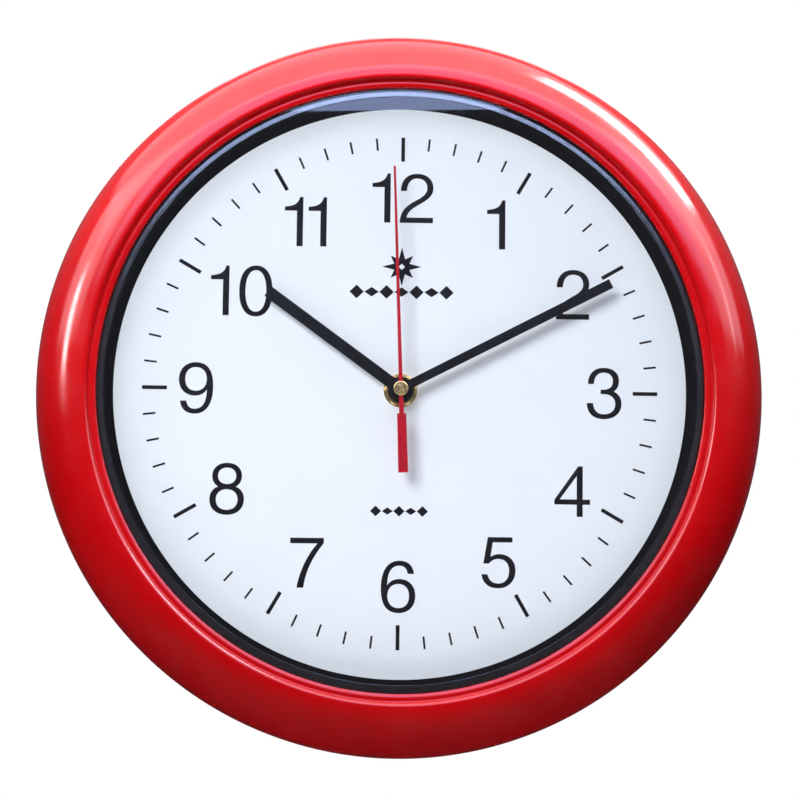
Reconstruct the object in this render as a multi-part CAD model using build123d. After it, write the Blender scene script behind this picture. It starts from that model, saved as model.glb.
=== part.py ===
from build123d import *
from math import acos, asin, atan2, cos, degrees, hypot, pi, radians, sin, tan
import os

# Quartz wall clock, 300 mm across.
#
# Every piece is drawn lying on its back: X to 3 o'clock, Y to 12 o'clock, Z from the wall (0)
# towards the viewer. stand_up() turns the finished piece so that it hangs: +Z up, dial to -Y,
# wall plane at Y = 0, arbor axis through the origin. All lengths are in millimetres.

# ---- Driving dimensions: case -------------------------------------------------------------
CASE_RADIUS = 150.0
CASE_DEPTH = 42.0
CASE_WALL = 2.2
WIDEST_Z = 17.0            # height above the wall where the case is widest
REAR_RADIUS = 146.4        # outside of the rim that touches the wall
REAR_RIM = 1.8             # width of that rim
CROWN_RADIUS = 131.0       # where the front bead is highest
LIP_RADIUS = 122.9         # opening in front of the glass
LIP_THICK = 1.5
POCKET_RADIUS = 127.2      # wall that centres glass, spacer and dial
POCKET_WALL = 2.0

# ---- Driving dimensions: stack from the dial to the glass ----------------------------------
DIAL_Z = 22.0              # front of the printed sheet
SHEET_THICK = 0.3
PLATE_THICK = 0.8
COVER_THICK = 2.0
GLASS_GAP = 14.0           # from the dial to the back of the glass
GLASS_THICK = 2.0
DIAL_OPENING = 118.1       # radius of dial left visible by the spacer
SPACER_TOP = 119.3         # radius of the spacer's inner edge under the glass
DIAL_RADIUS = 126.6

# ---- Driving dimensions: back cover and its hardware ---------------------------------------
COVER_RADIUS = 144.0
COVER_RIM = 5.0            # depth of the stiffening rim and ribs
RIB_THICK = 1.6
RIB_COUNT = 12
SCREW_CIRCLE = 137.0
SCREW_COUNT = 6
SCREW_RADIUS = 1.5
HANGER_Y = 88.0            # middle of the keyhole plate
HANGER_WIDE, HANGER_TALL, HANGER_THICK = 40.0, 30.0, 1.2
HANGER_Z = 2.2             # rear face of the keyhole plate
KEYHOLE_RADIUS = 4.5
KEYHOLE_SLOT = 4.4
KEYHOLE_DROP = 9.0         # from the entry hole's centre to the slot's end
POCKET_WIDE, POCKET_TALL, POCKET_DEEP = 15.0, 25.0, 6.0
HANGER_SCREW_X = 14.5

# ---- Driving dimensions: movement ----------------------------------------------------------
MOVE_HALF = 28.0           # half the width of the square movement case
MOVE_REAR, MOVE_FRONT = 2.4, 18.4
MOVE_WALL = 1.4
CHAMBER_FLOOR = 16.9       # inside face of the front plate
DIVIDER_LOW, DIVIDER_HIGH = -11.8, -10.4
BAY_LOW, BAY_FLOOR = -26.9, 17.6
REAR_COVER_THICK = 1.5
MID_PLATE = (9.0, 9.8)
PIVOT, PIVOT_HOLE = 0.5, 0.55
CELL_RADIUS, CELL_Y, CELL_Z = 7.25, -19.35, 10.2
CELL_START, CELL_END, NUB_LENGTH = -24.35, 25.15, 1.0

# ---- Driving dimensions: concentric tubes on the arbor -------------------------------------
BUSH_RADIUS, BUSH_BORE, BUSH_END = 3.9, 2.6, 25.2
HOUR_PIPE, HOUR_BORE = 2.55, 1.65
MINUTE_TUBE, MINUTE_BORE = 1.6, 0.55
CLUTCH_SEAT, CLUTCH_HOLE = 2.4, 2.45
HOUR_HAND_Z, MINUTE_HAND_Z, SECOND_HAND_Z = 26.0, 28.8, 31.4
HAND_THICK = 0.4

# ---- Hands: angles clockwise from 12, at rest ----------------------------------------------
HOUR_ANGLE, MINUTE_ANGLE, SECOND_ANGLE = 306.0, 62.5, 357.75
HOUR_LENGTH, HOUR_WIDE, HOUR_HUB = 68.0, 4.9, 5.2
MINUTE_LENGTH, MINUTE_ROOT, MINUTE_TIP, MINUTE_HUB = 97.0, 3.6, 4.0, 4.65
SECOND_LENGTH, SECOND_ROOT, SECOND_TIP = 92.0, 1.6, 0.9
WEIGHT_START, WEIGHT_END, WEIGHT_ROOT, WEIGHT_TIP = 10.2, 34.3, 3.7, 4.0
CAP_RADIUS = 3.0

# ---- Gears: (teeth, module, profile shift); every mesh has shifts that add to nothing --------
PRESSURE = radians(20)
ADDENDUM, DEDENDUM, THINNING = 0.8, 1.15, 0.12
TRAIN_MODULE = 9.0 / 36    # third wheel's centre is 9 mm from the arbor
ROTOR_PINION = (8, 0.25, 0.5)
INTERMEDIATE_WHEEL = (48, 0.25, -0.5)
INTERMEDIATE_PINION = (8, 0.3, 0.5)
SECOND_WHEEL = (40, 0.3, -0.5)
SECOND_PINION = (8, 9.0 / 34, 0.5)
THIRD_WHEEL = (60, 9.0 / 34, -0.5)
THIRD_PINION = (8, TRAIN_MODULE, 0.5)
CENTRE_WHEEL = (64, TRAIN_MODULE, -0.5)
CANNON_PINION = (12, 0.35, 0.4)
MINUTE_WHEEL = (36, 0.35, -0.4)
SETTING_PINION = (18, 0.35, 0.4)
MINUTE_PINION = (10, 8.4 / 25, 0.45)
HOUR_WHEEL = (40, 8.4 / 25, -0.45)


def centre_distance(first, second):
    """Distance between the axes of two gears in mesh."""
    return first[1] * (first[0] + second[0]) / 2


def polar(distance, angle, start=(0.0, 0.0)):
    """The point at a distance and an angle (degrees from X) from start."""
    return (start[0] + distance * cos(radians(angle)), start[1] + distance * sin(radians(angle)))


# ---- Arbor positions seen from the front ---------------------------------------------------
ARBOR = (0.0, 0.0)
THIRD_AT = polar(centre_distance(THIRD_PINION, CENTRE_WHEEL), 35)
INTERMEDIATE_AT = polar(centre_distance(INTERMEDIATE_PINION, SECOND_WHEEL), 165)
ROTOR_AT = polar(centre_distance(ROTOR_PINION, INTERMEDIATE_WHEEL), 120, INTERMEDIATE_AT)
MINUTE_WHEEL_AT = polar(centre_distance(CANNON_PINION, MINUTE_WHEEL), 100)
KNOB_AT = polar(centre_distance(MINUTE_WHEEL, SETTING_PINION), 60, MINUTE_WHEEL_AT)
MID_POSTS = [(13.0, -7.0), (-13.0, -7.0), (-12.5, 16.5), (12.5, 13.0)]

# ---- Motor and circuit ---------------------------------------------------------------------
MAGNET_RADIUS, MAGNET = 3.2, (7.3, 8.6)
STATOR = (7.4, 8.2)
STATOR_HOLE = 3.7
STATOR_POSTS = [(-17.0, -3.8), (-17.0, 19.9)]
STATOR_PADS = [(-13.5, -3.8), (-13.5, 19.4)]
CORE = (8.2, 9.0)
COIL_X, COIL_Z, COIL_RADIUS = -21.2, 8.6, 3.5
COIL_LOW, COIL_HIGH = -0.8, 17.0
BOARD = (10.5, 25.5, 14.8, 25.5, 5.0, 6.0)

LOW = (Align.CENTER, Align.CENTER, Align.MIN)
CORNER = (Align.MIN, Align.MIN, Align.MIN)


# ---- Shape helpers -------------------------------------------------------------------------
def disc(radius, low, high, at=ARBOR):
    """A cylinder along Z between two heights."""
    return Pos(at[0], at[1], low) * Cylinder(radius, high - low, align=LOW)


def tube(outer, inner, low, high, at=ARBOR):
    """A disc with a concentric hole right through it."""
    return disc(outer, low, high, at) - disc(inner, low - 1, high + 1, at)


def block(x0, x1, y0, y1, z0, z1):
    """A box between two corners."""
    return Pos(x0, y0, z0) * Box(x1 - x0, y1 - y0, z1 - z0, align=CORNER)


def slab(points, low, high):
    """A polygon drawn in XY, extruded between two heights."""
    return Pos(0, 0, low) * extrude(Polygon(*points, align=None), high - low)


def lathe(*edges):
    """A closed profile of (radius, height) edges turned about the arbor axis."""
    return revolve(Plane.XZ * make_face(Curve() + list(edges)), Axis.Z)


def lathe_points(*points):
    """A polygon of (radius, height) points turned about the arbor axis."""
    return revolve(Plane.XZ * Polygon(*points, align=None), Axis.Z)


def around(count, radius, start=0.0):
    """Evenly spaced points on a circle."""
    return [polar(radius, start + 360 * i / count) for i in range(count)]


def clockwise(shape, angle):
    """Turns a piece drawn pointing to 12 o'clock to its place on the dial."""
    return Rot(0, 0, -angle) * shape


# ---- Gears ---------------------------------------------------------------------------------
def involute(angle):
    return tan(angle) - angle


def gear_points(gear, phase):
    """Outline of an involute gear with one tooth centred on the phase angle (radians)."""
    teeth, module, shift = gear
    pitch = module * teeth / 2
    base = pitch * cos(PRESSURE)
    tip = pitch + module * (ADDENDUM + shift)
    root = pitch - module * (DEDENDUM - shift)
    half = (pi / 2 + 2 * shift * tan(PRESSURE) - THINNING) / teeth + involute(PRESSURE)
    foot = max(base, root)
    flank = [foot + (tip - foot) * share for share in (0, 0.35, 0.7, 1)]
    spots = [(radius, half - involute(acos(min(1.0, base / radius)))) for radius in flank]
    if root < base:
        spots.insert(0, (root, half))
    points = []
    for tooth in range(teeth):
        middle = phase + 2 * pi * tooth / teeth
        sides = [(r, middle - a) for r, a in spots] + [(r, middle + a) for r, a in reversed(spots)]
        points += [(r * cos(a), r * sin(a)) for r, a in sides]
    return points


def gear(kind, phase, low, high, at=ARBOR):
    """A spur gear between two heights."""
    return Pos(at[0], at[1], 0) * slab(gear_points(kind, phase), low, high)


def bearing(first, second):
    """Angle in radians of the line from one axis to another."""
    return atan2(second[1] - first[1], second[0] - first[0])


def meshed(phase, first, second, line):
    """Phase that puts the second gear in mesh with the first along a line from first to second."""
    return line + pi + (pi - (phase - line) * first[0]) / second[0]


# ---- Case, glass and dial ------------------------------------------------------------------
def case_ring():
    """Hollow moulded ring: rounded bead outside, lip over the glass, pocket wall and pillars inside."""
    width, height = CASE_RADIUS - CROWN_RADIUS, CASE_DEPTH - WIDEST_Z
    inner_width, inner_height = width - CASE_WALL, height - CASE_WALL
    seat = DIAL_Z + GLASS_GAP + GLASS_THICK
    lip = seat + LIP_THICK
    pocket_end = DIAL_Z - SHEET_THICK - PLATE_THICK + 0.1
    rim_inside = REAR_RADIUS - REAR_RIM
    under_crown = WIDEST_Z + inner_height
    pocket_outer = POCKET_RADIUS + POCKET_WALL
    shell = lathe(
        Line((rim_inside, 0), (REAR_RADIUS, 0)),
        Line((REAR_RADIUS, 0), (REAR_RADIUS + 0.5, 0.6)),
        ThreePointArc((REAR_RADIUS + 0.5, 0.6), (149.3, 8.5), (CASE_RADIUS, WIDEST_Z)),
        EllipticalCenterArc((CROWN_RADIUS, WIDEST_Z), width, height, 0, arc_size=90),
        ThreePointArc((CROWN_RADIUS, CASE_DEPTH), (128.4, 41.65), (126.3, lip + 1.2)),
        Line((126.3, lip + 1.2), (126.0, lip + 0.5)),
        Line((126.0, lip + 0.5), (125.4, lip + 0.3)),
        ThreePointArc((125.4, lip + 0.3), (124.3, lip + 0.35), (LIP_RADIUS + 0.3, lip)),
        Line((LIP_RADIUS + 0.3, lip), (LIP_RADIUS, lip - 0.5)),
        Line((LIP_RADIUS, lip - 0.5), (LIP_RADIUS, seat)),
        Line((LIP_RADIUS, seat), (POCKET_RADIUS, seat)),
        Line((POCKET_RADIUS, seat), (POCKET_RADIUS, pocket_end)),
        Line((POCKET_RADIUS, pocket_end), (pocket_outer, pocket_end)),
        Line((pocket_outer, pocket_end), (pocket_outer, under_crown)),
        Line((pocket_outer, under_crown), (CROWN_RADIUS, under_crown)),
        EllipticalCenterArc((CROWN_RADIUS, WIDEST_Z), inner_width, inner_height, 0, arc_size=90),
        ThreePointArc((CASE_RADIUS - CASE_WALL, WIDEST_Z), (147.1, 8.5), (rim_inside, 0)),
    )
    pillar_top = CASE_DEPTH - 4.5
    rib = block(pocket_outer - 1, SCREW_CIRCLE, -RIB_THICK / 2, RIB_THICK / 2, pocket_end + 3, pillar_top)
    for i, at in enumerate(around(SCREW_COUNT, SCREW_CIRCLE)):
        shell += disc(3.6, pocket_end, pillar_top, at) + Rot(0, 0, 360 * i / SCREW_COUNT) * rib
    for at in around(SCREW_COUNT, SCREW_CIRCLE):
        shell -= disc(SCREW_RADIUS, pocket_end - 1, pocket_end + 11, at)
    return shell


def glass_lens():
    """Flat clear disc with eased edges, held between the lip and the spacer."""
    rear = DIAL_Z + GLASS_GAP
    lens = disc(POCKET_RADIUS - 0.4, rear, rear + GLASS_THICK)
    return chamfer(lens.edges(), 0.3)


def spacer_ring():
    """Black ring between dial and glass: flat under the glass, sloping wall down to the dial."""
    top = DIAL_Z + GLASS_GAP
    outer = POCKET_RADIUS - 0.3
    return lathe_points(
        (DIAL_OPENING, DIAL_Z), (SPACER_TOP, top - 0.4), (SPACER_TOP + 0.4, top),
        (outer, top), (outer, top - 6), (outer - 1.6, top - 6), (outer - 1.6, top - 1.8),
        (SPACER_TOP + 2.0, top - 1.8), (DIAL_OPENING + 1.8, DIAL_Z),
    )


def dial_sheet():
    """Printed sheet with a hole for the threaded bush."""
    return tube(DIAL_RADIUS, BUSH_RADIUS + 0.3, DIAL_Z - SHEET_THICK, DIAL_Z)


def dial_plate():
    """Stiff disc that the sheet is glued to."""
    front = DIAL_Z - SHEET_THICK
    return tube(DIAL_RADIUS, BUSH_RADIUS + 0.2, front - PLATE_THICK, front)


# ---- Back cover, hanger and screws ---------------------------------------------------------
COVER_FRONT = DIAL_Z - SHEET_THICK - PLATE_THICK
COVER_REAR = COVER_FRONT - COVER_THICK
KEYHOLE_AT = (0.0, HANGER_Y - KEYHOLE_DROP / 2)


def back_cover():
    """Round cover with ribs, a frame round the movement and a hollow box that carries the hanger."""
    rib_z = COVER_REAR - COVER_RIM
    cover = disc(COVER_RADIUS, COVER_REAR, COVER_FRONT)
    cover += tube(COVER_RADIUS, COVER_RADIUS - 1.8, rib_z, COVER_REAR)
    for radius in (60.0, 104.0):
        cover += tube(radius, radius - RIB_THICK, rib_z + 1.5, COVER_REAR)
    for i in range(RIB_COUNT):
        rib = block(60.0 - RIB_THICK, COVER_RADIUS - 1, -RIB_THICK / 2, RIB_THICK / 2, rib_z, COVER_REAR)
        cover += Rot(0, 0, 15 + 360 * i / RIB_COUNT) * rib
    frame = MOVE_HALF + 0.3
    outside = block(-frame - 1.6, frame + 1.6, -frame - 1.6, frame + 1.6, rib_z + 1, COVER_REAR)
    cover += outside - block(-frame, frame, -frame, frame, 0, COVER_REAR)
    box_rear = HANGER_Z + HANGER_THICK
    low, high = HANGER_Y - HANGER_TALL / 2, HANGER_Y + HANGER_TALL / 2
    half = HANGER_WIDE / 2
    cover += block(-half, half, low, high, box_rear, COVER_REAR)
    pocket_floor = box_rear + POCKET_DEEP
    side, tall = POCKET_WIDE / 2, POCKET_TALL / 2
    cover -= block(-side, side, HANGER_Y - tall, HANGER_Y + tall, box_rear, pocket_floor)
    cover -= block(-side, side, HANGER_Y - tall, HANGER_Y + tall, pocket_floor + 2, COVER_FRONT)
    for x in (-HANGER_SCREW_X, HANGER_SCREW_X):
        cover -= disc(1.2, box_rear, box_rear + 8, (x, HANGER_Y))
    for at in around(SCREW_COUNT, SCREW_CIRCLE):
        cover += disc(4.2, COVER_REAR - 1.0, COVER_REAR, at)
        cover -= disc(SCREW_RADIUS + 0.3, COVER_REAR - 2, COVER_FRONT, at)
    return cover - disc(BUSH_RADIUS + 0.1, COVER_REAR, COVER_FRONT)


def pan_screw(shank, length, head, head_height, low, at):
    """Pan-head screw seen from the wall: head at low, shank towards the viewer, cross recess."""
    top = low + head_height
    screw = disc(head, low, top, at)
    screw = fillet(screw.edges().group_by(Axis.Z)[0], head_height * 0.45)
    screw += disc(shank, top, top + length, at)
    for angle in (45, 135):
        slot = Rot(0, 0, angle) * block(-head * 0.55, head * 0.55, -0.3, 0.3, low - 1, low + head_height * 0.6)
        screw -= Pos(at[0], at[1], 0) * slot
    return screw


def cover_screws():
    """Screws that hold the back cover to the case's pillars."""
    seat = COVER_REAR - 1.0
    return Compound(children=[
        pan_screw(SCREW_RADIUS - 0.05, 10.0, 2.9, 1.8, seat - 1.8, at)
        for at in around(SCREW_COUNT, SCREW_CIRCLE)
    ])


def hanger_plate():
    """Steel plate with a keyhole: round entry below, slot above for the shank of a wall screw."""
    half, low, high = HANGER_WIDE / 2, HANGER_Y - HANGER_TALL / 2, HANGER_Y + HANGER_TALL / 2
    rear, front = HANGER_Z, HANGER_Z + HANGER_THICK
    plate = block(-half, half, low, high, rear, front)
    plate = fillet(plate.edges().filter_by(Axis.Z), 3.0)
    slot_end = (KEYHOLE_AT[0], KEYHOLE_AT[1] + KEYHOLE_DROP)
    slot = KEYHOLE_SLOT / 2
    plate -= disc(KEYHOLE_RADIUS, rear - 1, front + 1, KEYHOLE_AT)
    plate -= block(-slot, slot, KEYHOLE_AT[1], slot_end[1], rear - 1, front + 1)
    plate -= disc(slot, rear - 1, front + 1, slot_end)
    for x in (-HANGER_SCREW_X, HANGER_SCREW_X):
        plate -= disc(1.5, rear - 1, front + 1, (x, HANGER_Y))
    return plate


def hanger_screws():
    """Two small screws through the keyhole plate."""
    return Compound(children=[
        pan_screw(1.15, 6.0, 2.4, 1.3, HANGER_Z - 1.3, (x, HANGER_Y))
        for x in (-HANGER_SCREW_X, HANGER_SCREW_X)
    ])


# ---- Movement case -------------------------------------------------------------------------
def movement_housing():
    """Square tray: gear chamber above, cell bay below, posts and bearings on the front plate."""
    tray = block(-MOVE_HALF, MOVE_HALF, -MOVE_HALF, MOVE_HALF, MOVE_REAR, MOVE_FRONT)
    tray = fillet(tray.edges().filter_by(Axis.Z), 2.5)
    inside = MOVE_HALF - MOVE_WALL
    tray -= block(-inside, inside, DIVIDER_HIGH, inside, 0, CHAMBER_FLOOR)
    tray -= block(-inside, inside, BAY_LOW, DIVIDER_LOW, 0, BAY_FLOOR)
    for side in (-1, 1):
        edge = sorted((side * (inside - 0.5), side * inside))
        tray -= block(*edge, DIVIDER_LOW, DIVIDER_HIGH, 5.9, 9.1)
        finger = sorted((side * 6.0, side * 16.0))
        tray -= block(*finger, -MOVE_HALF - 1, BAY_LOW, 0, 7.5)
    posts = disc(0.8, 11.9, CHAMBER_FLOOR, MINUTE_WHEEL_AT)
    posts += disc(1.3, 12.9, CHAMBER_FLOOR, THIRD_AT) + disc(1.6, 13.9, CHAMBER_FLOOR, KNOB_AT)
    for at in MID_POSTS:
        posts += disc(1.5, MID_PLATE[1], CHAMBER_FLOOR, at)
    tray += posts
    tray -= disc(PIVOT_HOLE, 12.9, 15.0, THIRD_AT) + disc(0.8, 13.9, 15.6, KNOB_AT)
    return tray - disc(BUSH_RADIUS + 0.1, CHAMBER_FLOOR, MOVE_FRONT)


def movement_cover():
    """Rear cover of the gear chamber, with bearings for the train and a hole for the setting stem."""
    inside = MOVE_HALF - MOVE_WALL - 0.1
    top = MOVE_REAR + REAR_COVER_THICK
    cover = block(-inside, inside, DIVIDER_HIGH + 0.1, inside, MOVE_REAR, top)
    recess = block(-18.0, -8.0, 18.0, 23.5, MOVE_REAR, MOVE_REAR + 0.5)
    cover -= fillet(recess.edges().filter_by(Axis.Z), 1.0)
    for at in (ARBOR, THIRD_AT, INTERMEDIATE_AT, ROTOR_AT):
        cover += disc(1.3, top, top + 0.8, at)
        cover -= disc(PIVOT_HOLE, MOVE_REAR + 0.6, top + 0.8, at)
    for at in ((BOARD[0] + 2.0, BOARD[2] + 1.8), (BOARD[1] - 1.8, BOARD[3] - 1.8)):
        cover += disc(1.2, top, BOARD[4], at)
    for at in STATOR_POSTS:
        cover += disc(1.2, top, STATOR[0], at)
    return cover - disc(1.6, MOVE_REAR, top, KNOB_AT)


def mid_plate():
    """Plate in the middle of the chamber that carries the front pivots of the fast arbors."""
    low, high = MID_PLATE
    plate = block(-15.8, 15.8, -9.4, 20.5, low, high)
    plate = fillet(plate.edges().filter_by(Axis.Z), 3.0)
    for at in STATOR_PADS:
        plate += disc(1.0, STATOR[1], low, at)
    plate -= disc(0.8, low, high) + disc(1.4, low, high, THIRD_AT) + disc(1.8, low, high, KNOB_AT)
    return plate - disc(PIVOT_HOLE, low, high, INTERMEDIATE_AT) - disc(PIVOT_HOLE, low, high, ROTOR_AT)


def threaded_bush():
    """Brass bush that clamps the movement to the dial; ridges stand for the fine thread."""
    bush = disc(6.5, CHAMBER_FLOOR - 1, CHAMBER_FLOOR) + disc(BUSH_RADIUS - 0.3, CHAMBER_FLOOR, BUSH_END)
    pitch = 0.75
    first = MOVE_FRONT + 0.5
    for i in range(8):
        low = first + i * pitch
        bush += lathe_points(
            (3.0, low), (BUSH_RADIUS - 0.3, low), (BUSH_RADIUS, low + pitch / 2),
            (BUSH_RADIUS - 0.3, low + pitch), (3.0, low + pitch),
        )
    return bush - disc(BUSH_BORE, 0, BUSH_END + 1)


def rubber_washer():
    """Soft ring between the movement and the back cover."""
    return tube(10.0, BUSH_RADIUS + 0.1, MOVE_FRONT, COVER_REAR)


def brass_washer():
    """Thin washer under the nut."""
    return tube(6.9, BUSH_RADIUS + 0.1, DIAL_Z, DIAL_Z + 0.5)


def hex_nut():
    """Low hexagon nut, 12 mm across flats, with chamfered corners."""
    low, high = DIAL_Z + 0.5, DIAL_Z + 2.4
    body = Pos(0, 0, low) * extrude(RegularPolygon(6.0, 6, major_radius=False), high - low)
    cone = lathe_points((0, low - 2), (8.5, low - 2), (8.5, high - 1.8), (6.1, high), (0, high))
    return (body & cone) - disc(BUSH_RADIUS + 0.05, low - 1, high + 1)


# ---- Motor and circuit ---------------------------------------------------------------------
def stator():
    """Soft iron sheet: closed frame whose right limb surrounds the rotor magnet."""
    low, high = STATOR
    sheet = block(-22.8, -6.0, -5.3, 21.3, low, high)
    sheet -= block(-30.0, -14.9, -2.3, 18.5, low - 1, high + 1)
    sheet -= disc(STATOR_HOLE, low - 1, high + 1, ROTOR_AT)
    return sheet - disc(1.6, low - 1, high + 1, INTERMEDIATE_AT)


def coil_core():
    """Iron bar through the coil, lying on the stator's two arms."""
    return block(COIL_X - 1.3, COIL_X + 1.3, -5.3, 21.3, *CORE)


def along_coil(radius, low, high):
    """A cylinder along the coil's axis."""
    return Pos(COIL_X, low, COIL_Z) * Rot(-90, 0, 0) * Cylinder(radius, high - low, align=LOW)


def coil_bobbin():
    """Plastic former with a flange at each end and a slot for the core."""
    former = along_coil(2.0, COIL_LOW, COIL_HIGH)
    former += along_coil(COIL_RADIUS + 0.2, COIL_LOW - 0.9, COIL_LOW)
    former += along_coil(COIL_RADIUS + 0.2, COIL_HIGH, COIL_HIGH + 0.9)
    slot = 0.05
    return former - block(
        COIL_X - 1.3 - slot, COIL_X + 1.3 + slot, COIL_LOW - 2, COIL_HIGH + 2, CORE[0] - slot, CORE[1] + slot
    )


def coil_winding():
    """Copper winding as one sleeve on the former."""
    return along_coil(COIL_RADIUS, COIL_LOW, COIL_HIGH) - along_coil(2.0, COIL_LOW - 1, COIL_HIGH + 1)


def circuit_board():
    """Small printed board beside the gears."""
    return block(*BOARD)


def driver_chip():
    """Round drop of resin over the chip."""
    at = (20.0, 20.5)
    drop = disc(2.8, BOARD[5], BOARD[5] + 1.1, at)
    return fillet(drop.edges().group_by(Axis.Z)[-1], 0.9)


def quartz_crystal():
    """Metal can of the tuning fork crystal, lying on the board."""
    can = Pos(12.8, 17.0, BOARD[5] + 1.0) * Rot(-90, 0, 0) * Cylinder(1.0, 6.0, align=LOW)
    return fillet(can.edges().group_by(Axis.Y)[-1], 0.35)


# ---- Cell and contacts ---------------------------------------------------------------------
def along_cell(radius, start, end):
    """A cylinder along the cell's axis."""
    return Pos(start, CELL_Y, CELL_Z) * Rot(0, 90, 0) * Cylinder(radius, end - start, align=LOW)


def battery():
    """Round AA cell body without its positive cap."""
    body = along_cell(CELL_RADIUS, CELL_START, CELL_END)
    return fillet(body.edges(), 0.5)


def battery_cap():
    """Positive cap of the cell."""
    cap = along_cell(2.75, CELL_END, CELL_END + NUB_LENGTH)
    return fillet(cap.edges().group_by(Axis.X)[-1], 0.4)


def positive_contact():
    """Nickel strip: pad against the cell's cap, tail into the gear chamber, foot on the board."""
    outer = MOVE_HALF - MOVE_WALL
    inner = CELL_END + NUB_LENGTH
    pad = block(inner, outer, -24.0, -14.5, 5.0, 15.0)
    tail = block(outer - 0.4, outer, -16.0, 17.5, 6.0, 9.0)
    return pad + tail + block(outer - 2.4, outer, 15.5, 17.5, BOARD[5], BOARD[5] + 0.3)


def negative_contact():
    """Nickel strip with a stamped dome that presses on the cell's flat end."""
    outer = -(MOVE_HALF - MOVE_WALL)
    strip = block(outer, outer + 0.4, -24.0, -14.5, 5.0, 15.0) + block(outer, outer + 0.4, -16.0, 0.0, 6.0, 9.0)
    dome = Pos(outer + 0.4, CELL_Y, CELL_Z) * Rot(0, 90, 0) * Cone(3.4, 1.6, CELL_START - outer - 0.4, align=LOW)
    return strip + dome


# ---- Running train: second hand, its wheel, and the wheels it turns with ---------------------
def second_wheel():
    """Wheel driven by the motor, with the pinion that drives the third wheel, on the steel arbor."""
    to_intermediate = bearing(ARBOR, INTERMEDIATE_AT)
    to_third = bearing(ARBOR, THIRD_AT)
    wheel = gear(SECOND_WHEEL, to_intermediate, 5.2, 6.0)
    wheel += disc(0.9, 4.9, 7.4) + gear(SECOND_PINION, to_third, 7.4, 8.6)
    return wheel - disc(PIVOT, 0, 20)


def second_arbor():
    """Steel wire that carries the second wheel at the back and the second hand at the front."""
    return disc(PIVOT, MOVE_REAR + 0.7, SECOND_HAND_Z + 0.7)


def intermediate_wheel():
    """Wheel and pinion between the rotor and the second wheel."""
    to_rotor = bearing(INTERMEDIATE_AT, ROTOR_AT)
    to_second = bearing(ARBOR, INTERMEDIATE_AT)
    pinion_phase = meshed(to_second, SECOND_WHEEL, INTERMEDIATE_PINION, to_second)
    wheel = disc(PIVOT, MOVE_REAR + 0.7, MID_PLATE[1] - 0.1, INTERMEDIATE_AT)
    wheel += gear(INTERMEDIATE_PINION, pinion_phase, 5.0, 6.2, INTERMEDIATE_AT)
    wheel += gear(INTERMEDIATE_WHEEL, to_rotor, 6.2, 7.0, INTERMEDIATE_AT)
    return wheel


def rotor_pinion():
    """Motor arbor and its pinion."""
    line = bearing(INTERMEDIATE_AT, ROTOR_AT)
    phase = meshed(line, INTERMEDIATE_WHEEL, ROTOR_PINION, line)
    arbor = disc(PIVOT, MOVE_REAR + 0.7, MID_PLATE[1] - 0.1, ROTOR_AT)
    return arbor + gear(ROTOR_PINION, phase, 6.0, MAGNET[0], ROTOR_AT)


def rotor_magnet():
    """Two-pole ferrite disc on the motor arbor."""
    return tube(MAGNET_RADIUS, PIVOT, *MAGNET, ROTOR_AT)


def third_wheel():
    """Wheel and pinion between the second wheel and the centre wheel."""
    to_third = bearing(ARBOR, THIRD_AT)
    wheel_phase = meshed(to_third, SECOND_PINION, THIRD_WHEEL, to_third)
    wheel = disc(PIVOT, MOVE_REAR + 0.7, 14.4, THIRD_AT)
    wheel += gear(THIRD_WHEEL, wheel_phase, 7.6, 8.4, THIRD_AT)
    wheel += disc(1.0, 8.4, 10.2, THIRD_AT)
    wheel += gear(THIRD_PINION, to_third + pi, 10.2, 11.8, THIRD_AT)
    return wheel


def centre_wheel():
    """Wheel that turns once an hour; it grips the cannon pinion by friction."""
    line = bearing(THIRD_AT, ARBOR)
    phase = meshed(bearing(ARBOR, THIRD_AT) + pi, THIRD_PINION, CENTRE_WHEEL, line)
    return gear(CENTRE_WHEEL, phase, 10.6, 11.4) - disc(CLUTCH_HOLE, 10, 12)


# ---- Motion work: minute hand, hour hand and setting knob ------------------------------------
CANNON_PHASE = bearing(ARBOR, MINUTE_WHEEL_AT)
MINUTE_WHEEL_PHASE = meshed(CANNON_PHASE, CANNON_PINION, MINUTE_WHEEL, CANNON_PHASE)


def cannon_pinion():
    """Tube that carries the minute hand, with its pinion and the clutch seat at the back."""
    cannon = disc(CLUTCH_SEAT, 10.4, 11.7) + gear(CANNON_PINION, CANNON_PHASE, 12.0, 13.2)
    cannon += disc(1.6, 10.2, MINUTE_HAND_Z + HAND_THICK + 0.6)
    return cannon - disc(MINUTE_BORE, 0, 40)


def minute_wheel():
    """Wheel and pinion that turn on a post and slow the minute hand down for the hour hand."""
    at = MINUTE_WHEEL_AT
    wheel = gear(MINUTE_WHEEL, MINUTE_WHEEL_PHASE, 12.2, 13.0, at) + disc(1.5, 13.0, 13.4, at)
    wheel += gear(MINUTE_PINION, bearing(at, ARBOR), 13.4, 15.2, at)
    return wheel - disc(0.85, 10, 20, at)


def hour_wheel():
    """Wheel with the pipe that carries the hour hand."""
    line = bearing(MINUTE_WHEEL_AT, ARBOR)
    wheel = gear(HOUR_WHEEL, meshed(line, MINUTE_PINION, HOUR_WHEEL, line), 13.9, 14.7)
    wheel += disc(HOUR_PIPE, 13.5, HOUR_HAND_Z + HAND_THICK + 0.5)
    return wheel - disc(HOUR_BORE, 0, 40)


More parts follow.
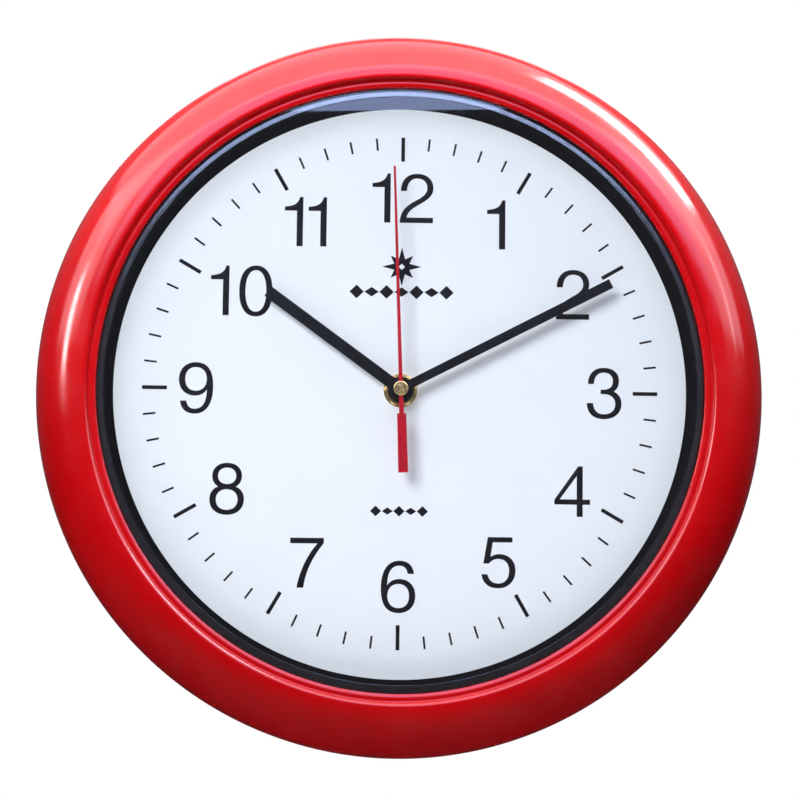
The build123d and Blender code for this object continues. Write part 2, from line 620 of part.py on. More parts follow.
def setting_knob():
    """Knurled knob behind the movement, its stem and the pinion that turns the minute wheel."""
    phase = meshed(MINUTE_WHEEL_PHASE, MINUTE_WHEEL, SETTING_PINION, bearing(MINUTE_WHEEL_AT, KNOB_AT))
    knob = tube(5.6, 3.6, 0.7, MOVE_REAR - 0.2) + disc(5.6, 1.3, MOVE_REAR - 0.2)
    for at in around(30, 5.75):
        knob -= disc(0.3, 0, 3, at)
    knob += block(-4.6, 4.6, -0.7, 0.7, 0.7, 1.3)
    knob = Pos(KNOB_AT[0], KNOB_AT[1], 0) * knob
    knob += disc(1.5, MOVE_REAR - 0.2, 12.0, KNOB_AT) + disc(0.75, 12.0, 15.2, KNOB_AT)
    return knob + gear(SETTING_PINION, phase, 12.0, 13.2, KNOB_AT)


# ---- Hands ---------------------------------------------------------------------------------
def hand_blade(points, low):
    """Flat blade pointing to 12 o'clock."""
    return slab(points, low, low + HAND_THICK)


def hour_hand():
    """Straight baton on a round hub with a short collet round the hour pipe."""
    half = HOUR_WIDE / 2
    hand = hand_blade([(-half, 0), (half, 0), (half, HOUR_LENGTH), (-half, HOUR_LENGTH)], HOUR_HAND_Z)
    hand += disc(HOUR_HUB, HOUR_HAND_Z, HOUR_HAND_Z + HAND_THICK)
    hand += disc(3.3, HOUR_HAND_Z - 0.5, HOUR_HAND_Z)
    return clockwise(hand - disc(HOUR_PIPE, 0, 40), HOUR_ANGLE)


def minute_hand():
    """Baton that widens slightly to its tip, on a round hub with a collet."""
    root, tip = MINUTE_ROOT / 2, MINUTE_TIP / 2
    hand = hand_blade([(-root, 0), (root, 0), (tip, MINUTE_LENGTH), (-tip, MINUTE_LENGTH)], MINUTE_HAND_Z)
    hand += disc(MINUTE_HUB, MINUTE_HAND_Z, MINUTE_HAND_Z + HAND_THICK)
    hand += disc(2.5, MINUTE_HAND_Z - 0.7, MINUTE_HAND_Z)
    return clockwise(hand - disc(MINUTE_TUBE, 0, 40), MINUTE_ANGLE)


def second_hand():
    """Needle with a long counterweight behind the arbor."""
    root, tip, near, far = SECOND_ROOT / 2, SECOND_TIP / 2, WEIGHT_ROOT / 2, WEIGHT_TIP / 2
    needle = [(-root, 0), (root, 0), (tip, SECOND_LENGTH), (-tip, SECOND_LENGTH)]
    neck = [(-root, 0), (root, 0), (root + 0.2, -WEIGHT_START), (-root - 0.2, -WEIGHT_START)]
    weight = [(-near, -WEIGHT_START), (near, -WEIGHT_START), (far, -WEIGHT_END), (-far, -WEIGHT_END)]
    hand = hand_blade(needle, SECOND_HAND_Z) + hand_blade(neck, SECOND_HAND_Z)
    hand += hand_blade(weight, SECOND_HAND_Z) + disc(2.2, SECOND_HAND_Z, SECOND_HAND_Z + HAND_THICK)
    return clockwise(hand - disc(0.9, 0, 40), SECOND_ANGLE)


def second_hand_cap():
    """Brass boss riveted through the second hand, with a round cap in front."""
    low = SECOND_HAND_Z + HAND_THICK
    cap = disc(CAP_RADIUS, low, low + 1.15)
    cap = fillet(cap.edges().group_by(Axis.Z)[-1], 0.45)
    cap += disc(0.9, SECOND_HAND_Z - 0.8, low)
    return cap - disc(PIVOT, SECOND_HAND_Z - 1, SECOND_HAND_Z + 0.7)


# ---- Export --------------------------------------------------------------------------------
PIECES = [
    case_ring, glass_lens, spacer_ring, dial_sheet, dial_plate,
    back_cover, cover_screws, hanger_plate, hanger_screws,
    movement_housing, movement_cover, mid_plate, threaded_bush, rubber_washer, brass_washer, hex_nut,
    stator, coil_core, coil_bobbin, coil_winding, circuit_board, driver_chip, quartz_crystal,
    battery, battery_cap, positive_contact, negative_contact,
    second_wheel, second_arbor, intermediate_wheel, rotor_pinion, rotor_magnet, third_wheel, centre_wheel,
    cannon_pinion, minute_wheel, hour_wheel, setting_knob,
    hour_hand, minute_hand, second_hand, second_hand_cap,
]


def stand_up(shape):
    """Turns a piece drawn on its back to the way the clock hangs."""
    return Rot(90, 0, 0) * shape


def main():
    os.makedirs("parts", exist_ok=True)
    for piece in PIECES:
        export_step(stand_up(piece()), f"parts/{piece.__name__}.step")


main()
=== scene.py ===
import math
import re

import bmesh
import bpy
from bpy.props import FloatProperty, FloatVectorProperty, IntProperty, PointerProperty
from mathutils import Matrix, Vector


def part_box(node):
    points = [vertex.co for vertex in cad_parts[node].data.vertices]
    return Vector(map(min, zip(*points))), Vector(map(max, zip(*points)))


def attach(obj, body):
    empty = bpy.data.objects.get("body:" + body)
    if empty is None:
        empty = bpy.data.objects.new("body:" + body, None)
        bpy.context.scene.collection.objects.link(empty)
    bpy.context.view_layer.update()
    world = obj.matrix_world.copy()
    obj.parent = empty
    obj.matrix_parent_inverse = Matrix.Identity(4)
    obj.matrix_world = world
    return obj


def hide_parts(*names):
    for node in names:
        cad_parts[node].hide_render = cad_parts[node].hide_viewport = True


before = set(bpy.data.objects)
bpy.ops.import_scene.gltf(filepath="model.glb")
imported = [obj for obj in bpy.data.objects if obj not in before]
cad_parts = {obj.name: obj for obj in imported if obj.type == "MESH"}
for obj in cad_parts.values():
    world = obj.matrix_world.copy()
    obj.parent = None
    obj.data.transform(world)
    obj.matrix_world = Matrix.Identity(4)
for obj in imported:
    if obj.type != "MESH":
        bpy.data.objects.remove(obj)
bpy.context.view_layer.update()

bl_info = {
    "name": "Wall Clock",
    "version": (1, 0, 0),
    "blender": (4, 5, 0),
    "location": "View3D > Sidebar > Clock",
    "description": "Builds the finished case, glass, dial printing and finishes of a round wall clock",
    "category": "Object",
}

# Pieces are drawn lying on their back in millimetres, as on a bench: x to 3 o'clock, y to 12 o'clock
# and z from the wall to the viewer. STAND puts them on the wall, in metres.
MM = 0.001
STAND = Matrix.Rotation(math.radians(90), 4, "X") @ Matrix.Scale(MM, 4)
SHARP = math.radians(32)


def front_of(node):
    """How far the front of a CAD node stands off the wall, in millimetres."""
    return -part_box(node)[0].y / MM


def back_of(node):
    """How far the back of a CAD node stands off the wall, in millimetres."""
    return -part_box(node)[1].y / MM


def radius_of(node):
    """The outer radius of a round CAD node, in millimetres."""
    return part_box(node)[1].x / MM


# ---------------------------------------------------------------- settings


class ClockSizes(bpy.types.PropertyGroup):
    """Sizes of the finished pieces."""

    turn_steps: IntProperty(
        name="Turned steps", description="Faces round each turned piece", default=256, min=64
    )
    crown_run: FloatProperty(
        name="Crown run", description="From the crown of the case out to its widest point",
        default=0.0223, unit="LENGTH",
    )
    crown_rise: FloatProperty(
        name="Crown rise", description="From the widest point of the case up to its crown",
        default=0.025, unit="LENGTH",
    )
    wall: FloatProperty(
        name="Case wall", description="Thickness of the case moulding", default=0.0022, unit="LENGTH"
    )
    print_relief: FloatProperty(
        name="Print relief", description="How far the printing stands off the dial",
        default=0.00004, unit="LENGTH",
    )
    numeral_height: FloatProperty(
        name="Numeral height", description="Height of a flat-topped numeral",
        default=0.02074, unit="LENGTH",
    )
    track_radius: FloatProperty(
        name="Track radius", description="Outer end of every minute mark", default=0.1061, unit="LENGTH"
    )
    minute_length: FloatProperty(
        name="Minute mark", description="Length of a minute mark", default=0.0052, unit="LENGTH"
    )
    hour_length: FloatProperty(
        name="Hour mark", description="Length of an hour mark", default=0.0102, unit="LENGTH"
    )
    minute_width: FloatProperty(
        name="Minute width", description="Width of a minute mark", default=0.00085, unit="LENGTH"
    )
    hour_width: FloatProperty(
        name="Hour width", description="Width of an hour mark", default=0.00155, unit="LENGTH"
    )


class ClockColours(bpy.types.PropertyGroup):
    """Colours of the finishes."""

    case: FloatVectorProperty(
        name="Case", description="Red of the case moulding",
        default=(0.29, 0.0006, 0.0018), subtype="COLOR",
    )
    spacer: FloatVectorProperty(
        name="Spacer", description="Black of the ring under the glass",
        default=(0.006, 0.006, 0.008), subtype="COLOR",
    )
    paper: FloatVectorProperty(
        name="Dial", description="White of the dial sheet", default=(0.80, 0.84, 0.92), subtype="COLOR"
    )
    ink: FloatVectorProperty(
        name="Ink", description="Black of the dial printing",
        default=(0.004, 0.003, 0.005), subtype="COLOR",
    )
    hands: FloatVectorProperty(
        name="Hands", description="Black of the hour and minute hands",
        default=(0.003, 0.003, 0.005), subtype="COLOR",
    )
    sweep: FloatVectorProperty(
        name="Second hand", description="Red of the second hand",
        default=(0.42, 0.004, 0.016), subtype="COLOR",
    )
    brass: FloatVectorProperty(
        name="Brass", description="Colour of the brass fittings",
        default=(0.83, 0.60, 0.25), subtype="COLOR",
    )


class ClockStage(bpy.types.PropertyGroup):
    """Camera, floor and light."""

    distance: FloatProperty(
        name="Distance", description="From the camera to the clock", default=0.8, unit="LENGTH"
    )
    azimuth: FloatProperty(
        name="Azimuth", description="Camera angle round the clock",
        default=math.radians(-1.21), subtype="ANGLE",
    )
    elevation: FloatProperty(
        name="Elevation", description="Camera angle above the clock",
        default=math.radians(-5.66), subtype="ANGLE",
    )
    roll: FloatProperty(
        name="Roll", description="Turn of the camera about its view",
        default=math.radians(0.67), subtype="ANGLE",
    )
    aim: FloatProperty(
        name="Aim", description="How far below the arbor the camera looks",
        default=0.0033, unit="LENGTH",
    )
    lens: FloatProperty(
        name="Lens", description="Focal length on a 36 mm sensor, in millimetres",
        default=86.86, min=20.0,
    )
    floor_drop: FloatProperty(
        name="Floor drop", description="From the clock's middle to the floor",
        default=0.45, unit="LENGTH",
    )
    floor_radius: FloatProperty(
        name="Floor radius", description="Radius of the floor", default=1.0, unit="LENGTH"
    )
    sky: FloatProperty(
        name="Sky", description="Strength of the soft light all round", default=1.0, min=0.0
    )


def settings():
    """The sizes, colours and stage of the scene."""
    scene = bpy.context.scene
    return scene.clock_sizes, scene.clock_colours, scene.clock_stage


# ---------------------------------------------------------------- mesh work


def turn(form, outline, at=(0.0, 0.0), steps=None):
    """Turns a closed outline of (radius, height) points about an upright axis into the form."""
    steps = steps or settings()[0].turn_steps
    rings = []
    for i in range(steps):
        angle = 2 * math.pi * i / steps
        across, along = math.sin(angle), math.cos(angle)
        rings.append([form.verts.new((at[0] + r * across, at[1] + r * along, h)) for r, h in outline])
    for here, there in zip(rings, rings[1:] + rings[:1]):
        for j in range(len(outline)):
            k = j - 1
            form.faces.new((here[k], here[j], there[j], there[k]))


def prism(form, points, low, high):
    """Adds an upright prism on a plan of (x, y) points."""
    below = [form.verts.new((x, y, low)) for x, y in points]
    above = [form.verts.new((x, y, high)) for x, y in points]
    form.faces.new(below)
    form.faces.new(above)
    for j in range(len(points)):
        form.faces.new((below[j - 1], below[j], above[j], above[j - 1]))


def spoke(form, angle, inner, outer, width, low, high):
    """Adds a bar that lies along a radius, clockwise from 12 o'clock."""
    along = Vector((math.sin(angle), math.cos(angle)))
    across = Vector((along.y, -along.x)) * width / 2
    near, far = along * inner, along * outer
    prism(form, [near - across, far - across, far + across, near + across], low, high)


def arc(start, through, end, steps=6):
    """Points on the round arc from start through a point to end, without the start."""
    (ax, ay), (bx, by), (cx, cy) = start, through, end
    span = 2 * (ax * (by - cy) + bx * (cy - ay) + cx * (ay - by))
    a2, b2, c2 = ax * ax + ay * ay, bx * bx + by * by, cx * cx + cy * cy
    x = (a2 * (by - cy) + b2 * (cy - ay) + c2 * (ay - by)) / span
    y = (a2 * (cx - bx) + b2 * (ax - cx) + c2 * (bx - ax)) / span
    radius = math.hypot(ax - x, ay - y)
    first, last = math.atan2(ay - y, ax - x), math.atan2(cy - y, cx - x)
    sweep = (last - first) % (2 * math.pi)
    middle = (math.atan2(by - y, bx - x) - first) % (2 * math.pi)
    if middle > sweep:
        sweep -= 2 * math.pi
    angles = [first + sweep * i / steps for i in range(1, steps + 1)]
    return [(x + radius * math.cos(a), y + radius * math.sin(a)) for a in angles]


def oval(centre, run, rise, first, last, steps):
    """Points on an oval from one angle to another, in degrees, both ends included."""
    angles = [math.radians(first + (last - first) * i / steps) for i in range(steps + 1)]
    return [(centre[0] + run * math.cos(a), centre[1] + rise * math.sin(a)) for a in angles]


def smooth(mesh):
    """Shades a mesh smooth and keeps its corners crisp."""
    form = bmesh.new()
    form.from_mesh(mesh)
    for face in form.faces:
        face.smooth = True
    for edge in form.edges:
        edge.smooth = len(edge.link_faces) == 2 and edge.calc_face_angle() < SHARP
    form.to_mesh(mesh)
    form.free()


def add_piece(name, form, finish, body, slot, *nodes):
    """Stands a form up as a piece that rides on a body and may stand for CAD nodes."""
    bmesh.ops.remove_doubles(form, verts=form.verts, dist=1e-4)
    bmesh.ops.dissolve_degenerate(form, edges=form.edges, dist=1e-5)
    bmesh.ops.recalc_face_normals(form, faces=form.faces)
    form.transform(STAND)
    mesh = bpy.data.meshes.new(name)
    form.to_mesh(mesh)
    form.free()
    smooth(mesh)
    mesh.materials.append(finish)
    piece = bpy.data.objects.new(name, mesh)
    bpy.context.scene.collection.objects.link(piece)
    if nodes:
        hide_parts(*nodes)
    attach(piece, body)
    return piece


# ---------------------------------------------------------------- drawn outlines


def read_outline(path):
    """Reads M, L, H, V, C and Z steps into loops of [point, handle before, handle after]."""
    loops, here, step = [], Vector((0, 0)), "M"
    words = re.findall(r"[MLHVCZ]|-?[\d.]+", path)
    while words:
        if words[0] in "MLHVCZ":
            step = words.pop(0)
        if step == "Z":
            continue
        count = {"M": 2, "L": 2, "H": 1, "V": 1, "C": 6}[step]
        numbers = [float(words.pop(0)) for _ in range(count)]
        if step == "H":
            numbers = [numbers[0], here.y]
        elif step == "V":
            numbers = [here.x, numbers[0]]
        here = Vector(numbers[-2:])
        if step == "M":
            loops.append([[here, here, here]])
            continue
        if step == "C":
            loops[-1][-1][2] = Vector(numbers[:2])
            before = Vector(numbers[2:4])
        else:
            before = here
        loops[-1].append([here, before, here])
    for loop in loops:
        if (loop[0][0] - loop[-1][0]).length < 1e-6:
            loop[0][1] = loop[-1][1]
            loop.pop()
    return loops


def moved(loops, scale, offset):
    """Loops scaled and then moved, handles with them."""
    return [[[point * scale + Vector(offset) for point in knot] for knot in loop] for loop in loops]


def filled(loops, low, high, steps=8):
    """A form whose plan is the filled loops and that reaches from low to high."""
    curve = bpy.data.curves.new("outline", "CURVE")
    curve.dimensions = "2D"
    curve.fill_mode = "BOTH"
    curve.extrude = (high - low) / 2
    curve.resolution_u = steps
    for loop in loops:
        spline = curve.splines.new("BEZIER")
        spline.bezier_points.add(len(loop) - 1)
        spline.use_cyclic_u = True
        for knot, (point, before, after) in zip(spline.bezier_points, loop):
            knot.handle_left_type = knot.handle_right_type = "FREE"
            places = (point.to_3d(), before.to_3d(), after.to_3d())
            knot.co, knot.handle_left, knot.handle_right = places
    holder = bpy.data.objects.new("outline", curve)
    bpy.context.scene.collection.objects.link(holder)
    mesh = bpy.data.meshes.new_from_object(holder.evaluated_get(bpy.context.evaluated_depsgraph_get()))
    form = bmesh.new()
    form.from_mesh(mesh)
    form.transform(Matrix.Translation((0, 0, (high + low) / 2)))
    bpy.data.objects.remove(holder)
    bpy.data.curves.remove(curve)
    bpy.data.meshes.remove(mesh)
    return form


def polygon(points):
    """A straight-sided loop."""
    return [[Vector(p), Vector(p), Vector(p)] for p in points]


# ---------------------------------------------------------------- finishes


class Finish:
    """A material being mixed: one Principled shader and the nodes that feed it."""

    def __init__(self, name, roughness=0.4, metallic=0.0, **plain):
        self.material = bpy.data.materials.new(name)
        self.material.use_nodes = True
        self.tree = self.material.node_tree
        self.shader = self.tree.nodes["Principled BSDF"]
        self.shader.inputs["Roughness"].default_value = roughness
        self.shader.inputs["Metallic"].default_value = metallic
        for socket, value in plain.items():
            socket = socket.replace("_", " ").title().replace("Ior", "IOR")
            self.shader.inputs[socket].default_value = value
        self.place = self.add("TexCoord").outputs["Object"]

    def add(self, kind, **looks):
        """A new node of a kind, with its own settings."""
        node = self.tree.nodes.new("ShaderNode" + kind)
        for key, value in looks.items():
            setattr(node, key, value)
        return node

    def join(self, source, target):
        """Joins a socket, or puts a plain value, into another socket."""
        if isinstance(source, bpy.types.NodeSocket):
            self.tree.links.new(source, target)
        else:
            target.default_value = source

    def stretched(self, x, y, z):
        """The place on the piece, stretched along each axis."""
        node = self.add("Mapping")
        self.join(self.place, node.inputs["Vector"])
        node.inputs["Scale"].default_value = (x, y, z)
        return node.outputs["Vector"]

    def noise(self, size, detail=3.0, place=None):
        """A cloud pattern whose patches are about size millimetres across."""
        node = self.add("TexNoise")
        self.join(place or self.place, node.inputs["Vector"])
        node.inputs["Scale"].default_value = 1 / (size * MM)
        node.inputs["Detail"].default_value = detail
        return node.outputs["Fac"]

    def cells(self, size):
        """A pattern of flat cells about size millimetres across, each with its own grey."""
        node = self.add("TexVoronoi")
        self.join(self.place, node.inputs["Vector"])
        node.inputs["Scale"].default_value = 1 / (size * MM)
        split = self.add("SeparateColor")
        self.join(node.outputs["Color"], split.inputs[0])
        return split.outputs[0]

    def waves(self, pitch, kind="RINGS", axis="Y", distortion=0.0):
        """Rings about an axis or bands across it, pitch millimetres apart."""
        node = self.add("TexWave", wave_type=kind)
        setattr(node, kind.lower() + "_direction", axis)
        self.join(self.place, node.inputs["Vector"])
        node.inputs["Scale"].default_value = 2 * math.pi / (20 * pitch * MM)
        node.inputs["Distortion"].default_value = distortion
        node.inputs["Detail"].default_value = 1.0
        return node.outputs["Fac"]

    def off_axis(self):
        """The distance from the clock's axis, in metres."""
        flat = self.stretched(1, 0, 1)
        node = self.add("VectorMath", operation="LENGTH")
        self.join(flat, node.inputs[0])
        return node.outputs["Value"]

    def between(self, source, low, high, start=0.0, end=1.0):
        """Carries the range low to high of a pattern to the range start to end."""
        node = self.add("MapRange")
        self.join(source, node.inputs["Value"])
        for socket, value in zip(("From Min", "From Max", "To Min", "To Max"), (low, high, start, end)):
            node.inputs[socket].default_value = value
        return node.outputs["Result"]

    def times(self, first, second, operation="MULTIPLY"):
        """One pattern times another, or another sum of the two."""
        node = self.add("Math", operation=operation)
        self.join(first, node.inputs[0])
        self.join(second, node.inputs[1])
        return node.outputs["Value"]

    def blend(self, share, first, second):
        """The first colour where share is 0 and the second where it is 1."""
        node = self.add("Mix", data_type="RGBA")
        self.join(share, node.inputs["Factor"])
        for socket, colour in ((node.inputs[6], first), (node.inputs[7], second)):
            self.join(colour if isinstance(colour, bpy.types.NodeSocket) else (*colour[:3], 1.0), socket)
        return node.outputs[2]

    def colour(self, source):
        """Puts a colour on the shader."""
        self.join(source, self.shader.inputs["Base Color"])

    def gloss(self, source):
        """Puts a roughness on the shader."""
        self.join(source, self.shader.inputs["Roughness"])

    def relief(self, source, depth):
        """Presses a pattern into the surface, depth millimetres deep."""
        node = self.add("Bump")
        node.inputs["Distance"].default_value = depth * MM
        self.join(source, node.inputs["Height"])
        if self.shader.inputs["Normal"].links:
            self.join(self.shader.inputs["Normal"].links[0].from_socket, node.inputs["Normal"])
        self.join(node.outputs["Normal"], self.shader.inputs["Normal"])


def shade(colour, amount):
    """A colour made darker or lighter."""
    return tuple(min(1.0, c * amount) for c in colour[:3])


def moulded(name, colour, patch=30, spread=0.10, rough=(0.35, 0.5), grain=0.6, depth=0.01, **plain):
    """A moulded finish: colour that drifts in patches, an uneven gloss and a fine grain."""
    finish = Finish(name, **plain)
    drift = finish.between(finish.noise(patch), 0.3, 0.7)
    finish.colour(finish.blend(drift, shade(colour, 1 - spread), shade(colour, 1 + spread)))
    finish.gloss(finish.between(finish.noise(patch / 3, 5.0), 0.3, 0.7, *rough))
    finish.relief(finish.noise(grain, 2.0), depth)
    return finish


def case_gloss():
    """The case's gloss red plastic: slight flow waves, hand marks, dust and a rubbed rim."""
    colours = settings()[1]
    finish = Finish("case_gloss_red", specular_ior_level=0.5)
    drift = finish.between(finish.noise(60, 2.0), 0.35, 0.65)
    skin = finish.blend(drift, shade(colours.case, 0.94), shade(colours.case, 1.05))
    dust = finish.between(finish.noise(0.7, 1.0), 0.72, 0.78)
    skin = finish.blend(finish.times(dust, 0.06), skin, (0.75, 0.50, 0.50))
    edge = finish.between(finish.off_axis(), 0.1488, 0.15)
    rubbed = finish.times(edge, finish.between(finish.noise(5.0, 4.0), 0.50, 0.72))
    skin = finish.blend(finish.times(rubbed, 0.07), skin, (0.62, 0.12, 0.12))
    finish.colour(skin)
    marks = finish.between(finish.noise(14, 5.0), 0.42, 0.72, 0.15, 0.23)
    finish.gloss(finish.times(marks, finish.times(rubbed, 0.2), "ADD"))
    finish.relief(finish.noise(6.0, 1.0), 0.012)
    return finish.material


def spacer_gloss():
    """The gloss black ring between dial and glass."""
    black = settings()[1].spacer
    finish = moulded("spacer_gloss_black", black, patch=18, rough=(0.14, 0.22), grain=3.0, depth=0.004)
    finish.shader.inputs["Specular IOR Level"].default_value = 1.0
    finish.shader.inputs["Coat Weight"].default_value = 1.0
    finish.shader.inputs["Coat IOR"].default_value = 1.8
    finish.shader.inputs["Coat Roughness"].default_value = 0.12
    return finish.material


def matt_lining():
    """The fine-textured inner wall of the spacer, which mirrors nothing."""
    black = settings()[1].spacer
    finish = moulded("lining_matt_black", black, patch=12, rough=(0.8, 0.95), grain=0.5, depth=0.01)
    finish.shader.inputs["Specular IOR Level"].default_value = 0.0
    return finish.material


def clear_pane():
    """Clear glass with faint wiping marks, which lets light reach the dial."""
    finish = Finish("clear_pane", roughness=0.0, transmission_weight=1.0, ior=1.5)
    finish.shader.inputs["Base Color"].default_value = (0.985, 0.995, 0.99, 1.0)
    wiped = finish.noise(5, 3.0, finish.stretched(1.0, 1.0, 0.35))
    finish.gloss(finish.between(wiped, 0.45, 0.75, 0.004, 0.03))
    path = finish.add("LightPath")
    through = finish.times(path.outputs["Is Shadow Ray"], path.outputs["Is Diffuse Ray"], "MAXIMUM")
    open_side = finish.add("BsdfTransparent")
    both = finish.add("MixShader")
    finish.join(through, both.inputs[0])
    finish.join(finish.shader.outputs[0], both.inputs[1])
    finish.join(open_side.outputs[0], both.inputs[2])
    finish.join(both.outputs[0], finish.tree.nodes["Material Output"].inputs["Surface"])
    return finish.material


def dial_paper():
    """Coated white paper with a faint fibre."""
    colours = settings()[1]
    finish = Finish("dial_paper")
    cloud = finish.between(finish.noise(25, 3.0), 0.3, 0.7)
    fibre = finish.between(finish.noise(0.35, 2.0, finish.stretched(1.0, 1.0, 0.4)), 0.3, 0.7)
    base = finish.blend(cloud, shade(colours.paper, 0.985), shade(colours.paper, 1.0))
    finish.colour(finish.blend(finish.times(fibre, 0.05), base, shade(colours.paper, 0.8)))
    finish.gloss(finish.between(fibre, 0.0, 1.0, 0.42, 0.55))
    finish.relief(fibre, 0.002)
    return finish.material


def printing_ink():
    """Screen-printed black ink with pinholes and a slight sheen."""
    colours = settings()[1]
    finish = Finish("printing_ink", specular_ior_level=0.1)
    pinholes = finish.between(finish.noise(0.12, 1.0), 0.72, 0.80)
    drift = finish.between(finish.noise(4.0), 0.3, 0.7)
    base = finish.blend(drift, shade(colours.ink, 0.7), shade(colours.ink, 1.4))
    finish.colour(finish.blend(finish.times(pinholes, 0.3), base, (0.25, 0.25, 0.27)))
    finish.gloss(finish.between(drift, 0.0, 1.0, 0.42, 0.55))
    finish.relief(finish.noise(0.2), 0.002)
    return finish.material


def hand_lacquer(name, colour, rough):
    """Sprayed lacquer on a stamped hand: fine orange peel and a few dust nibs."""
    finish = Finish(name, specular_ior_level=0.15)
    drift = finish.between(finish.noise(8.0), 0.3, 0.7)
    nibs = finish.between(finish.noise(0.3, 1.0), 0.73, 0.78)
    base = finish.blend(drift, shade(colour, 0.85), shade(colour, 1.15))
    finish.colour(finish.blend(finish.times(nibs, 0.12), base, (0.4, 0.4, 0.42)))
    finish.gloss(finish.between(finish.noise(3.0, 4.0), 0.3, 0.7, *rough))
    finish.relief(finish.noise(0.5, 1.0), 0.002)
    return finish.material


def turned_brass():
    """Brass with turning marks round the arbor and a little tarnish."""
    colours = settings()[1]
    finish = Finish("turned_brass", metallic=1.0)
    tarnish = finish.between(finish.noise(1.5, 4.0), 0.45, 0.75)
    finish.colour(finish.blend(finish.times(tarnish, 0.5), colours.brass, shade(colours.brass, 0.62)))
    marks = finish.waves(0.16, distortion=0.4)
    finish.gloss(finish.between(tarnish, 0.0, 1.0, 0.16, 0.34))
    finish.relief(marks, 0.006)
    return finish.material


def plated(name, colour, tint, patch=0.8, rough=(0.25, 0.45), brush=None):
    """Plated or drawn metal: a drifting tint, and drawing marks along an axis where it has them."""
    finish = Finish(name, metallic=1.0)
    film = finish.between(finish.noise(patch, 3.0), 0.3, 0.7)
    finish.colour(finish.blend(film, colour, tint))
    finish.gloss(finish.between(finish.noise(patch * 2, 4.0), 0.3, 0.7, *rough))
    grain = finish.noise(0.15, 2.0, finish.stretched(*brush)) if brush else finish.noise(0.1, 2.0)
    finish.relief(grain, 0.004)
    return finish.material


def galvanised_steel():
    """Zinc spangle: flat crystals that differ in grey and gloss."""
    finish = Finish("galvanised_steel", metallic=1.0)
    crystals = finish.cells(2.6)
    finish.colour(finish.blend(crystals, (0.42, 0.43, 0.45), (0.66, 0.67, 0.69)))
    finish.gloss(finish.between(crystals, 0.0, 1.0, 0.28, 0.52))
    finish.relief(finish.noise(0.3), 0.006)
    return finish.material


def wound_wire():
    """Enamelled copper wire, turn beside turn, with painted shade darkening the grooves between the
    turns.
    """
    finish = Finish("wound_wire", metallic=1.0)
    turns_and_groove_shade = finish.waves(0.14, "BANDS", "Z", 0.3)
    # The colour is darker in the grooves between turns: painted shade; the same wave also raises the
    # turns as relief.
    finish.colour(finish.blend(turns_and_groove_shade, (0.22, 0.05, 0.02), (0.72, 0.26, 0.10)))
    finish.gloss(finish.between(finish.noise(1.2), 0.3, 0.7, 0.22, 0.36))
    finish.relief(turns_and_groove_shade, 0.04)
    return finish.material


def board_laminate():
    """Green circuit laminate with a weave under its lacquer."""
    finish = Finish("board_laminate")
    warp = finish.waves(0.5, "BANDS", "X")
    weft = finish.waves(0.5, "BANDS", "Z")
    weave = finish.times(warp, weft)
    finish.colour(finish.blend(weave, (0.012, 0.10, 0.03), (0.03, 0.19, 0.06)))
    finish.gloss(finish.between(finish.noise(2.0), 0.3, 0.7, 0.2, 0.32))
    finish.relief(weave, 0.01)
    return finish.material


def cell_sleeve():
    """The dry cell's printed film: dark, with a metallic gold shoulder at the positive end."""
    finish = Finish("cell_sleeve_film", metallic=0.35)
    split = finish.add("SeparateXYZ")
    finish.join(finish.place, split.inputs[0])
    low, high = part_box("battery")
    shoulder = low.x + (high.x - low.x) * 0.68
    band = finish.between(split.outputs["X"], shoulder, shoulder + 0.0002)
    film = finish.between(finish.noise(3.0), 0.3, 0.7)
    dark = finish.blend(film, (0.012, 0.013, 0.017), (0.022, 0.023, 0.03))
    finish.colour(finish.blend(band, dark, (0.62, 0.36, 0.12)))
    finish.gloss(finish.between(finish.noise(1.0, 4.0), 0.3, 0.7, 0.18, 0.32))
    finish.relief(finish.noise(1.5), 0.006)
    return finish.material


def gear_resin(name, colour):
    """Moulded acetal: waxy, with a little light in it."""
    finish = moulded(name, colour, patch=3, spread=0.05, rough=(0.3, 0.42), grain=0.4, depth=0.003)
    finish.shader.inputs["Subsurface Weight"].default_value = 0.15
    finish.shader.inputs["Subsurface Scale"].default_value = 0.0008
    return finish.material


def eroded(name, colour, rough=(0.5, 0.66)):
    """Matt plastic from a spark-eroded mould, scuffed in places."""
    finish = Finish(name)
    scuffs = finish.between(finish.noise(9.0, 6.0, finish.stretched(1.0, 1.0, 0.5)), 0.56, 0.72)
    finish.colour(finish.blend(finish.times(scuffs, 0.35), colour, shade(colour, 2.6)))
    finish.gloss(finish.between(scuffs, 0.0, 1.0, *rough))
    finish.relief(finish.noise(0.28, 3.0), 0.02)
    return finish.material


# Moulded finishes by slot: name, colour, patch, spread, roughness, grain and depth.
MOULDED = {
    "dial_board": ("dial_board", (0.55, 0.53, 0.48), 8, 0.06, (0.7, 0.85), 0.3, 0.01),
    "plate_grey": ("plate_grey", (0.20, 0.20, 0.21), 5, 0.08, (0.4, 0.55), 0.3, 0.008),
    "rubber_black": ("rubber_black", (0.02, 0.02, 0.02), 4, 0.15, (0.7, 0.85), 0.2, 0.01),
    "resin_black": ("chip_resin", (0.01, 0.01, 0.01), 2, 0.2, (0.3, 0.45), 0.2, 0.006),
    "magnet_dark": ("magnet_ferrite", (0.035, 0.034, 0.034), 1, 0.2, (0.5, 0.65), 0.1, 0.006),
}
